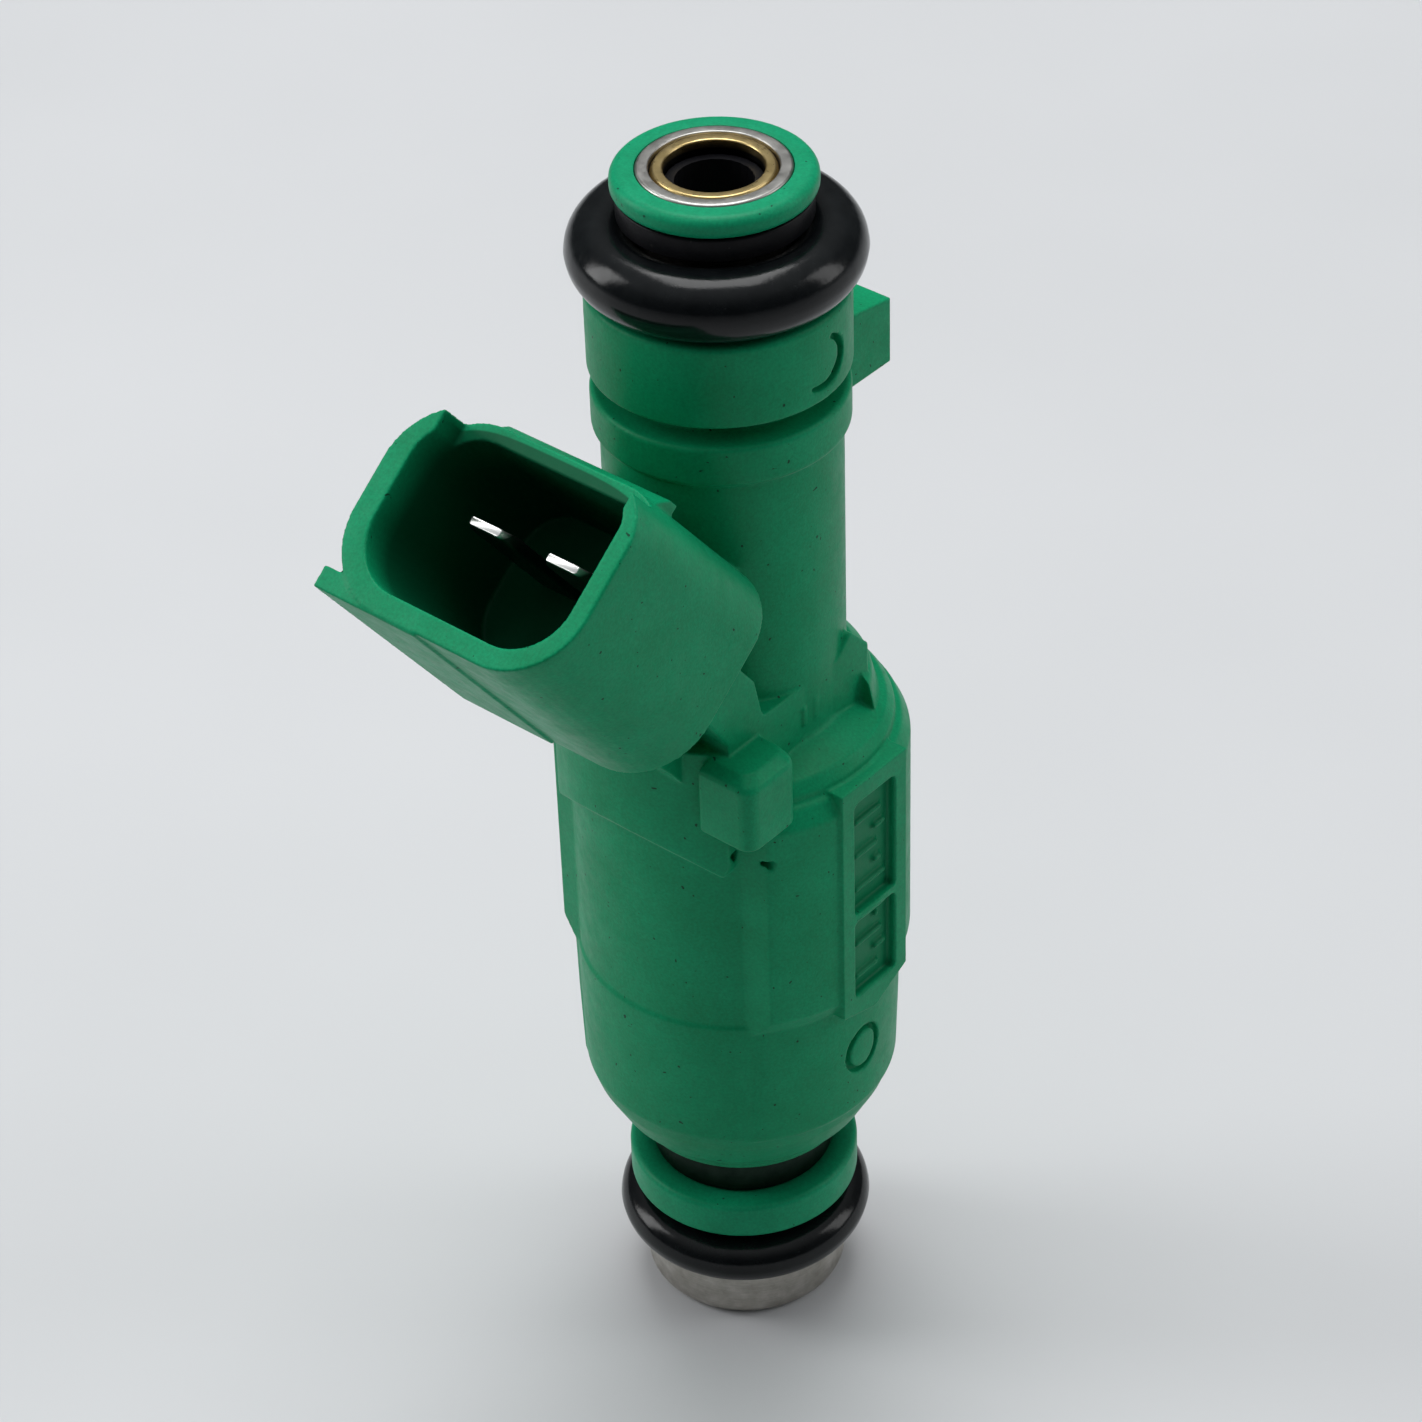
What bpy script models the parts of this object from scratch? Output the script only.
"""A port fuel injector with a two-blade connector, as separate pieces.

The origin is the middle of the orifice plate's outer face. +Z runs up the injector's
axis to the fuel rail, and the connector leans out towards -Y.
"""

import math

import bmesh
import bpy
from mathutils import Vector

MM = 0.001
AROUND = 48  # facets of the moulded body
TRIM = 36  # of the seals and the steel that shows
INSIDE = 32  # of the pieces inside
FINE = 24  # of the smallest
GAP = 0.05  # clearance between pressed or moulded faces

# Heights up the axis, in millimetres
NOZZLE_RIM = -0.5
TUBE_TOP = 71.82
RAIL_RING_Z = 67.45  # centre of the upper O-ring
MANIFOLD_RING_Z = 4.45  # centre of the lower O-ring
BODY_BOTTOM = 11.7
BODY_TOP = 39.5
COLLAR_TOP = 65.6
CLIP_GROOVE = (59.86, 61.07)
END_RING_Z = (70.6, 71.76)

# Radii
BODY_R = 8.6
BAND_R = 9.45
NECK_R = 6.1
COLLAR_R = 6.58
TUBE_R = 3.8
TUBE_BORE = 3.16
SEAT_BODY_R = 4.45
NOZZLE_R = 5.7
RAIL_RING = (5.61, 1.79)  # centre-line and section radius
MANIFOLD_RING = (5.8, 1.33)

# Coil and can
CAN_Z = (19.05, 37.5)
CAN_R = (7.2, 7.7)
POLE_FACE = 28.1
ARMATURE_TOP = 28.0
SLEEVE_R = (3.85, 4.4)

# Connector, measured along its own axis and across it
TILT = math.radians(38)
SHELL_RIM = 57.47
SHELL_END = 43.9
SOCKET_FLOOR = 46.0
RIM_CUT = 2.0
BLADE_TIP = 54.6
BLADE_V = 24.1
BLADE_PITCH = 4.94
BLADE = (2.8, 0.63)

ROOT_HALF = 6.0  # half width of the block that carries the connector
PAD_HALF = 5.85
STRUT_HALF = 4.0


def clear_scene():
    for obj in list(bpy.data.objects):
        bpy.data.objects.remove(obj)


def collection(name, parent):
    made = bpy.data.collections.new(name)
    parent.children.link(made)
    return made


def material(name, colour, metallic, roughness):
    made = bpy.data.materials.new(name)
    made.use_nodes = True
    shader = made.node_tree.nodes["Principled BSDF"]
    shader.inputs["Base Color"].default_value = (*colour, 1)
    shader.inputs["Metallic"].default_value = metallic
    shader.inputs["Roughness"].default_value = roughness
    made.diffuse_color = (*colour, 1)
    return made


FINISHES = {
    "green": ((0.010, 0.190, 0.085), 0.0, 0.42),
    "black": ((0.010, 0.010, 0.011), 0.0, 0.55),
    "rubber": ((0.014, 0.014, 0.015), 0.0, 0.60),
    "steel": ((0.55, 0.54, 0.52), 1.0, 0.32),
    "dark_steel": ((0.33, 0.33, 0.34), 1.0, 0.38),
    "brass": ((0.72, 0.50, 0.20), 1.0, 0.30),
    "tin": ((0.80, 0.80, 0.79), 1.0, 0.25),
    "copper": ((0.62, 0.26, 0.12), 1.0, 0.40),
}


def new_object(name, data, finish=None):
    obj = bpy.data.objects.new(name, data)
    if finish is None:
        CUTTERS.objects.link(obj)
        obj.hide_render = True
        obj.display_type = "WIRE"
    else:
        PARTS.objects.link(obj)
        data.materials.append(material(name, *FINISHES[finish]))
    return obj


def turned(name, profile, finish=None, around=AROUND):
    """A turned solid. The (radius, height) profile runs down the outer side, then up the bore."""
    on_axis = [radius < 1e-6 for radius, _ in profile]
    bm = bmesh.new()
    points = [bm.verts.new((radius * MM, 0, height * MM)) for radius, height in profile]
    for i, point in enumerate(points):
        j = (i + 1) % len(points)
        if not (on_axis[i] and on_axis[j]):
            bm.edges.new((point, points[j]))
    mesh = bpy.data.meshes.new(name)
    bm.to_mesh(mesh)
    bm.free()
    obj = new_object(name, mesh, finish)
    screw = obj.modifiers.new("Turn", "SCREW")
    screw.axis = "Z"
    screw.steps = around
    screw.render_steps = around
    screw.use_merge_vertices = True
    screw.merge_threshold = 1e-6
    screw.use_smooth_shade = False
    return obj


def lofted(name, rings, finish=None):
    """A closed skin through rings of equal point count, each ring given as Vectors in millimetres."""
    bm = bmesh.new()
    rows = [[bm.verts.new(point * MM) for point in ring] for ring in rings]
    count = len(rows[0])
    for low, high in zip(rows, rows[1:]):
        for i in range(count):
            j = (i + 1) % count
            bm.faces.new((low[i], low[j], high[j], high[i]))
    bm.faces.new(list(reversed(rows[0])))
    bm.faces.new(rows[-1])
    bmesh.ops.recalc_face_normals(bm, faces=bm.faces)
    mesh = bpy.data.meshes.new(name)
    bm.to_mesh(mesh)
    bm.free()
    return new_object(name, mesh, finish)


def box(name, low, high, finish=None):
    x0, y0, z0 = low
    x1, y1, z1 = high
    corners = [(x0, y0), (x1, y0), (x1, y1), (x0, y1)]
    return lofted(name, [[Vector((x, y, z)) for x, y in corners] for z in (z0, z1)], finish)


def side_prism(name, outline, half, finish=None, middle=0.0):
    """A (Y, Z) outline, extruded along X to both sides of the middle."""
    rings = [[Vector((x, y, z)) for y, z in outline] for x in (middle - half, middle + half)]
    return lofted(name, rings, finish)


def plan_prism(name, outline, low, high, finish=None):
    """An (X, Y) outline, extruded up Z."""
    return lofted(name, [[Vector((x, y, z)) for x, y in outline] for z in (low, high)], finish)


def on_connector(x, v, along):
    """A point from the connector's own axes: x across, v towards the rail, along its axis."""
    return Vector(
        (
            x,
            v * math.cos(TILT) - along * math.sin(TILT),
            v * math.sin(TILT) + along * math.cos(TILT),
        )
    )


def rounded(x0, x1, y0, y1, radii, steps=6):
    """A rectangle with a radius at each corner, from the low corner, anticlockwise."""
    centres = (
        (x0 + radii[0], y0 + radii[0], 180, radii[0]),
        (x1 - radii[1], y0 + radii[1], 270, radii[1]),
        (x1 - radii[2], y1 - radii[2], 0, radii[2]),
        (x0 + radii[3], y1 - radii[3], 90, radii[3]),
    )
    points = []
    for cx, cy, start, radius in centres:
        for i in range(steps + 1):
            angle = math.radians(start + 90 * i / steps)
            points.append((cx + radius * math.cos(angle), cy + radius * math.sin(angle)))
    return points


def connector_loft(name, sections, finish=None):
    """Sections are (along, outline in x and v)."""
    rings = [[on_connector(x, v, along) for x, v in outline] for along, outline in sections]
    return lofted(name, rings, finish)


def boolean(obj, operation, others):
    """One Boolean over all the others at once, so that no rounding builds up between steps."""
    modifier = obj.modifiers.new(operation.title(), "BOOLEAN")
    modifier.operation = operation
    modifier.solver = "EXACT"
    if len(others) == 1:
        modifier.object = others[0]
        return
    group = collection(f"{obj.name}_{operation.lower()}", CUTTERS)
    for other in others:
        CUTTERS.objects.unlink(other)
        group.objects.link(other)
    modifier.operand_type = "COLLECTION"
    modifier.collection = group


def unite(obj, *others):
    boolean(obj, "UNION", others)


def cut(obj, *others):
    boolean(obj, "DIFFERENCE", others)


def keep_inside(obj, other):
    boolean(obj, "INTERSECT", [other])


def ring_section(centre, height, radius, steps):
    """A round section's (radius, height) points, top first and down the outer side."""
    points = []
    for i in range(steps):
        angle = math.pi / 2 - 2 * math.pi * i / steps
        points.append((centre + radius * math.cos(angle), height + radius * math.sin(angle)))
    return points


# Moulded body ---------------------------------------------------------------------------


def body_blank():
    groove_low, groove_high = CLIP_GROOVE
    return turned(
        "overmold_body",
        [
            (0, COLLAR_TOP),
            (6.3, COLLAR_TOP),
            (COLLAR_R, COLLAR_TOP - 0.3),
            (COLLAR_R, groove_high),
            (4.9, groove_high),
            (4.9, groove_low),
            (6.3, groove_low),
            (6.5, groove_low - 0.2),
            (6.5, 58.3),
            (NECK_R, 57.6),
            (NECK_R, 40.7),
            (8.1, 40.1),
            (BODY_R - 0.1, BODY_TOP),
            (BODY_R, BODY_TOP - 0.3),
            (BODY_R, 16.3),
            (8.45, 15.6),
            (7.05, 13.3),
            (6.5, BODY_BOTTOM),
            (0, BODY_BOTTOM),
        ],
        "green",
    )


def side_band():
    """The thicker skin round the back and sides, left open at the front."""
    band = turned(
        "band",
        [
            (0, 39.0),
            (8.6, 39.0),
            (9.0, 38.8),
            (BAND_R, 37.9),
            (BAND_R, 25.6),
            (8.5, 24.1),
            (0, 24.1),
        ],
    )
    front = plan_prism("band_front", [(0, -0.5), (-13.5, -13), (13.5, -13)], 20, 45)
    cut(band, front)
    return band


def back_hump():
    hump = turned(
        "hump",
        [(0, 42.6), (6.6, 42.6), (7.3, 42.0), (7.6, 41.2), (7.8, 40.2), (7.8, 38.3), (0, 38.3)],
        around=44,
    )
    behind = box("hump_half", (-12, 3.4, 36), (12, 12, 46))
    keep_inside(hump, behind)
    return hump


def connector_root():
    """The block that carries the connector and saddles the neck."""
    near = on_connector(0, 21.9, SHELL_END + 0.7)
    far = on_connector(0, 28.0, SHELL_END + 0.7)
    outline = [
        (near.y, near.z),
        (-7.2, 44.0),
        (-7.2, 38.7),
        (4.08, 38.7),
        (4.08, 43.8),
        (2.6, 45.3),
        (1.5, 44.2),
        (-4.5, 44.1),
        (-5.0, 46.7),
        (-6.0, 48.0),
        (far.y, far.z),
    ]
    return side_prism("connector_root", outline, ROOT_HALF)


def connector_strut():
    """The narrower foot that stands on the pad and holds up the shell's outer wall."""
    low = on_connector(0, 18.6, SHELL_END + 0.7)
    high = on_connector(0, 24.0, SHELL_END + 0.7)
    outline = [(low.y, low.z), (-9.2, 42.4), (-8.2, 41.0), (-6.0, 41.0), (-6.0, 47.0), (high.y, high.z)]
    return side_prism("connector_strut", outline, STRUT_HALF)


def front_pad():
    """The raised pad under the connector, whose lower face is chamfered."""
    pad = turned("pad", [(0, 44.4), (9.35, 44.4), (9.35, 33), (0, 33)])
    outline = [(-10.4, 38.5), (-7.3, 35.2), (-5.6, 33.4), (-2, 33.4), (-2, 43.4), (-10.4, 43.4)]
    window = side_prism("pad_window", outline, PAD_HALF)
    keep_inside(pad, window)
    return pad


def lug():
    """A square-cornered block on the right of the connector's root."""
    rings = []
    for inset, height in ((0.6, 38.4), (0.0, 38.9), (0.0, 42.7), (0.5, 43.3)):
        outline = rounded(
            5.0 + inset / 2, 8.4 - inset, -8.5 + inset, -4.6 - inset / 2, (0.4, 0.8, 0.9, 0.4), 3
        )
        rings.append([Vector((x, y, height)) for x, y in outline])
    return lofted("lug", rings)


def label_frame():
    """The framed plate on the right, with two plain recesses."""
    plate = box("label_plate", (7.6, -2.35, 23.6), (9.35, 2.95, 39.0))
    upper = box("label_upper", (9.05, -1.35, 30.6), (9.9, 2.05, 38.0))
    lower = box("label_lower", (9.05, -1.35, 24.7), (9.9, 2.05, 30.1))
    cut(plate, upper, lower)
    return plate


def connector_shell():
    rim = rounded(-7.7, 7.2, 17.72, 28.65, (4.2, 4.2, 3.0, 4.0))
    end = rounded(-7.7, 7.45, 17.28, 28.9, (4.3, 4.3, 3.1, 4.0))
    return connector_loft("shell", [(SHELL_END, end), (SHELL_RIM, rim)])


def connector_fin():
    """The flat flange along the shell's outer wall, on the left."""
    end = [(-6.0, 17.12), (0.1, 17.12), (0.1, 18.75), (-6.0, 18.75)]
    rim = [(-7.5, 17.6), (-0.9, 17.6), (-0.9, 18.75), (-7.5, 18.75)]
    return connector_loft("fin", [(SHELL_END + 0.12, end), (SHELL_RIM - 0.1, rim)])


def latch_ridge():
    return connector_loft(
        "ridge",
        [
            (52.7, [(-5.2, 28.2), (5.2, 28.2), (5.2, 29.35), (-5.2, 29.35)]),
            (53.3, [(-5.2, 28.2), (5.2, 28.2), (5.2, 29.35), (-5.2, 29.35)]),
            (54.3, [(-5.2, 28.2), (5.2, 28.2), (5.2, 28.6), (-5.2, 28.6)]),
        ],
    )


def socket_space():
    floor = rounded(-6.1, 5.95, 19.05, 27.5, (3.0, 3.0, 1.8, 2.4))
    mouth = rounded(-6.35, 6.17, 18.85, 27.75, (3.1, 3.1, 1.9, 2.6))
    return connector_loft("socket", [(SOCKET_FLOOR, floor), (SHELL_RIM + 1, mouth)])


def rim_notch():
    outline = [(-5.8, 26.0), (5.8, 26.0), (5.8, 31.0), (-5.8, 31.0)]
    return connector_loft(
        "rim_notch", [(SHELL_RIM - RIM_CUT, outline), (SHELL_RIM + 1, outline)]
    )


def index_tab():
    outline = [(5.0, 56.5), (10.4, 56.5), (10.4, 60.1), (7.8, 60.45), (5.0, 60.45)]
    return side_prism("tab", outline, 2.5)


def body_bore():
    """The space that the can, the tube and the seat body fill."""
    low, high = CAN_Z
    return turned(
        "bore",
        [
            (0, COLLAR_TOP + 2),
            (TUBE_R + GAP, COLLAR_TOP + 2),
            (TUBE_R + GAP, high + GAP),
            (CAN_R[1] + GAP, high + GAP),
            (CAN_R[1] + GAP, low - GAP),
            (5.15, low - GAP),
            (5.15, BODY_BOTTOM - 2),
            (0, BODY_BOTTOM - 2),
        ],
    )


# Terminals --------------------------------------------------------------------------------

LEG_Y = -5.7
LEG_FOOT = CAN_Z[1] - 0.9


def blade_bend():
    """How far along the connector's axis the blade meets its upright leg."""
    return (BLADE_V * math.cos(TILT) - LEG_Y) / math.sin(TILT)


def blade_outline(half, foot, tip, point=0.0):
    """The bent strip in (Y, Z), its tip narrowed by point on each side."""
    bend = blade_bend()
    turn = half * math.tan(TILT / 2)
    outer = on_connector(0, BLADE_V - half, bend + turn)
    inner = on_connector(0, BLADE_V + half, bend - turn)
    shoulder = tip - 0.8
    outline = [(LEG_Y - half, foot), (outer.y, outer.z)]
    if point:
        outline.append(tuple(on_connector(0, BLADE_V - half, shoulder).yz))
    outline.append(tuple(on_connector(0, BLADE_V - half + point, tip).yz))
    outline.append(tuple(on_connector(0, BLADE_V + half - point, tip).yz))
    if point:
        outline.append(tuple(on_connector(0, BLADE_V + half, shoulder).yz))
    outline += [(inner.y, inner.z), (LEG_Y + half, foot)]
    return outline


def terminal(side):
    name = "terminal_right" if side > 0 else "terminal_left"
    middle = side * BLADE_PITCH / 2
    width, thick = BLADE
    blade = side_prism(name, blade_outline(thick / 2, LEG_FOOT, BLADE_TIP, 0.16), width / 2, "tin", middle)
    corners = []
    for hand in (-1, 1):
        sections = []
        for along, near in ((BLADE_TIP - 0.9, 1.41), (BLADE_TIP + 0.2, 0.8)):
            outline = [(near, 22), (1.8, 22), (1.8, 26), (near, 26)]
            sections.append((along, [(middle + hand * x, v) for x, v in outline]))
        corners.append(connector_loft(f"{name}_corner_{hand}", sections))
    cut(blade, *corners)
    return blade


def terminal_pocket(side):
    width, thick = BLADE
    outline = blade_outline(thick / 2 + GAP, LEG_FOOT, SOCKET_FLOOR + 1)
    name = f"pocket_{'right' if side > 0 else 'left'}"
    return side_prism(name, outline, width / 2 + GAP, None, side * BLADE_PITCH / 2)


def build_body():
    body = body_blank()
    unite(
        body,
        side_band(),
        back_hump(),
        front_pad(),
        connector_root(),
        connector_strut(),
        lug(),
        label_frame(),
        box("plain_plate", (-9.38, -2.5, 23.55), (-7.6, 2.75, 38.9)),
        connector_shell(),
        connector_fin(),
        latch_ridge(),
        index_tab(),
    )
    cut(
        body,
        socket_space(),
        rim_notch(),
        body_bore(),
        terminal_pocket(1),
        terminal_pocket(-1),
    )


# Seals and trim --------------------------------------------------------------------------


def build_seals():
    major, minor = RAIL_RING
    turned("rail_o_ring", ring_section(major, RAIL_RING_Z, minor, 12), "rubber", TRIM)
    major, minor = MANIFOLD_RING
    turned("manifold_o_ring", ring_section(major, MANIFOLD_RING_Z, minor, 12), "rubber", TRIM)
    turned(
        "rail_end_ring",
        [
            (TUBE_R + GAP, END_RING_Z[1]),
            (4.6, END_RING_Z[1]),
            (4.95, END_RING_Z[1] - 0.15),
            (5.06, END_RING_Z[1] - 0.45),
            (5.06, END_RING_Z[0] + 0.3),
            (4.9, END_RING_Z[0]),
            (TUBE_R + GAP, END_RING_Z[0]),
        ],
        "green",
        TRIM,
    )
    turned(
        "rail_spacer_ring",
        [
            (TUBE_R + GAP, END_RING_Z[0] - GAP),
            (4.8, END_RING_Z[0] - GAP),
            (4.8, RAIL_RING_Z + RAIL_RING[1] + GAP),
            (TUBE_R + GAP, RAIL_RING_Z + RAIL_RING[1] + GAP),
        ],
        "black",
        TRIM,
    )
    turned(
        "manifold_support_ring",
        [
            (SEAT_BODY_R + GAP, 8.9),
            (6.25, 8.9),
            (6.45, 8.7),
            (6.45, 6.8),
            (6.3, 6.6),
            (SEAT_BODY_R + GAP, 6.6),
        ],
        "green",
        TRIM,
    )


# Rail end -----------------------------------------------------------------------------------


def build_rail_end():
    turned(
        "inlet_tube",
        [
            (TUBE_BORE, TUBE_TOP),
            (3.65, TUBE_TOP),
            (TUBE_R, TUBE_TOP - 0.15),
            (TUBE_R, 44.05),
            (TUBE_BORE, 44.05),
        ],
        "steel",
        TRIM,
    )
    turned(
        "filter_collar",
        [
            (2.46, 71.78),
            (2.93, 71.78),
            (3.11, 71.5),
            (3.11, 67.0),
            (2.46, 67.0),
        ],
        "brass",
        INSIDE,
    )
    cage = turned(
        "filter_cage",
        [
            (1.95, 71.0),
            (2.41, 71.0),
            (2.41, 58.6),
            (2.1, 58.2),
            (0, 58.2),
            (0, 58.9),
            (1.95, 58.9),
        ],
        "black",
        FINE,
    )
    cut(
        cage,
        box("window_x", (-3, -0.95, 59.6), (3, 0.95, 66.0)),
        box("window_y", (-0.95, -3, 59.6), (0.95, 3, 66.0)),
    )
    turned("filter_screen", [(1.78, 66.8), (1.9, 66.8), (1.9, 59.0), (1.78, 59.0)], "steel", FINE)


# Magnet ---------------------------------------------------------------------------------------


def build_magnet():
    low, high = CAN_Z
    turned(
        "pole_core",
        [
            (1.9, 48.5),
            (2.9, 48.5),
            (3.1, 48.2),
            (3.1, 44.0),
            (TUBE_R, 44.0),
            (TUBE_R, POLE_FACE + 0.2),
            (3.6, POLE_FACE),
            (1.9, POLE_FACE),
        ],
        "steel",
        INSIDE,
    )
    turned(
        "magnet_can",
        [(CAN_R[0], high), (CAN_R[1], high), (CAN_R[1], low), (CAN_R[0], low)],
        "dark_steel",
        INSIDE,
    )
    top = turned(
        "can_top_washer",
        [(TUBE_R + GAP, high), (7.15, high), (7.15, high - 0.9), (TUBE_R + GAP, high - 0.9)],
        "dark_steel",
        INSIDE,
    )
    cut(top, box("washer_slot", (-4.3, -8, high - 2), (4.3, -5.2, high + 1)))
    turned(
        "can_base_washer",
        [(3.85, low + 0.95), (7.15, low + 0.95), (7.15, low), (3.85, low)],
        "dark_steel",
        INSIDE,
    )
    turned(
        "coil_bobbin",
        [
            (4.5, 36.5),
            (7.1, 36.5),
            (7.1, 35.7),
            (5.0, 35.7),
            (5.0, 20.9),
            (7.1, 20.9),
            (7.1, 20.1),
            (4.5, 20.1),
        ],
        "black",
        INSIDE,
    )
    turned(
        "coil_winding",
        [(5.05, 35.65), (6.85, 35.65), (6.85, 20.95), (5.05, 20.95)],
        "copper",
        INSIDE,
    )
    turned(
        "nonmagnetic_sleeve",
        [(SLEEVE_R[0], 33.0), (SLEEVE_R[1], 33.0), (SLEEVE_R[1], 20.1), (SLEEVE_R[0], 20.1)],
        "steel",
        INSIDE,
    )


# Valve and seat -------------------------------------------------------------------------------

BALL_Z = 3.6
BALL_R = 1.75


def build_valve():
    turned(
        "armature",
        [
            (1.65, ARMATURE_TOP),
            (3.3, ARMATURE_TOP),
            (3.4, ARMATURE_TOP - 0.15),
            (3.4, 20.7),
            (3.2, 20.4),
            (1.3, 20.4),
            (1.3, 24.0),
            (1.65, 24.0),
        ],
        "steel",
        INSIDE,
    )
    tube = turned(
        "needle_tube",
        [(0.75, 24.0), (1.25, 24.0), (1.25, 5.22), (0.75, 5.22)],
        "steel",
        FINE,
    )
    cut(tube, box("cross_hole", (-3, -0.35, 8.0), (3, 0.35, 9.4)))
    mesh = bpy.data.meshes.new("valve_ball")
    bm = bmesh.new()
    bmesh.ops.create_uvsphere(bm, u_segments=FINE, v_segments=12, radius=BALL_R * MM)
    bm.to_mesh(mesh)
    bm.free()
    ball = new_object("valve_ball", mesh, "steel")
    ball.location = (0, 0, BALL_Z * MM)


def build_spring():
    """The return spring, between the armature's step and the adjusting sleeve."""
    low, high = 24.05, 33.55
    wire, mean, turns, steps = 0.2, 1.3, 6.5, 12
    count = int(turns * steps)
    curve = bpy.data.curves.new("return_spring", "CURVE")
    curve.dimensions = "3D"
    curve.bevel_depth = wire * MM
    curve.bevel_resolution = 0
    curve.use_fill_caps = True
    spline = curve.splines.new("POLY")
    spline.points.add(count)
    for i, point in enumerate(spline.points):
        share = i / count
        angle = 2 * math.pi * turns * share
        height = low + wire * 1.1 + (high - low - wire * 2.2) * share
        point.co = (mean * math.cos(angle) * MM, mean * math.sin(angle) * MM, height * MM, 1)
    new_object("return_spring", curve, "steel")
    turned(
        "adjusting_sleeve",
        [(1.1, 43.5), (1.7, 43.5), (1.85, 43.2), (1.85, 33.6), (1.1, 33.6)],
        "steel",
        FINE,
    )


def build_seat():
    turned(
        "valve_body",
        [
            (3.45, 26.0),
            (TUBE_R, 26.0),
            (TUBE_R, 19.0),
            (5.1, 19.0),
            (5.1, 8.95),
            (SEAT_BODY_R, 8.95),
            (SEAT_BODY_R, 0.2),
            (3.35, 0.2),
            (3.35, 3.5),
            (2.6, 3.5),
            (2.6, 19.6),
            (3.45, 19.6),
        ],
        "steel",
        TRIM,
    )
    reach = BALL_R * math.sin(math.pi / 4) + 0.03
    contact = BALL_Z - BALL_R * math.sin(math.pi / 4)
    seat = turned(
        "valve_seat",
        [
            (1.95, 3.4),
            (3.3, 3.4),
            (3.3, 0.35),
            (0.6, 0.35),
            (0.6, contact - reach + 0.6),
            (1.95, contact - reach + 1.95),
        ],
        "steel",
        FINE,
    )
    cut(
        seat,
        box("feed_x", (-2.45, -0.4, 3.0), (2.45, 0.4, 4.0)),
        box("feed_y", (-0.4, -2.45, 3.0), (0.4, 2.45, 4.0)),
    )
    plate = turned("orifice_plate", [(0, 0.3), (2.6, 0.3), (2.6, 0), (0, 0)], "steel", INSIDE)
    holes = []
    for i in range(4):
        angle = math.radians(45 + 90 * i)
        x, y = 0.42 * math.cos(angle), 0.42 * math.sin(angle)
        outline = [
            (x + 0.12 * math.cos(k * math.pi / 4), y + 0.12 * math.sin(k * math.pi / 4))
            for k in range(8)
        ]
        holes.append(plan_prism(f"spray_hole_{i}", outline, -0.5, 0.8))
    cut(plate, *holes)
    turned(
        "nozzle_sleeve",
        [
            (SEAT_BODY_R + GAP, 3.05),
            (5.75, 3.05),
            (NOZZLE_R, 2.9),
            (NOZZLE_R, NOZZLE_RIM + 0.5),
            (5.75, NOZZLE_RIM + 0.15),
            (5.4, NOZZLE_RIM),
            (3.0, NOZZLE_RIM),
            (3.0, 0.15),
            (SEAT_BODY_R + GAP, 0.15),
        ],
        "steel",
        TRIM,
    )


clear_scene()
PARTS = collection("fuel_injector", bpy.context.scene.collection)
CUTTERS = collection("cutters", bpy.context.scene.collection)
build_body()
build_seals()
build_rail_end()
build_magnet()
build_valve()
build_spring()
build_seat()
terminal(1)
terminal(-1)
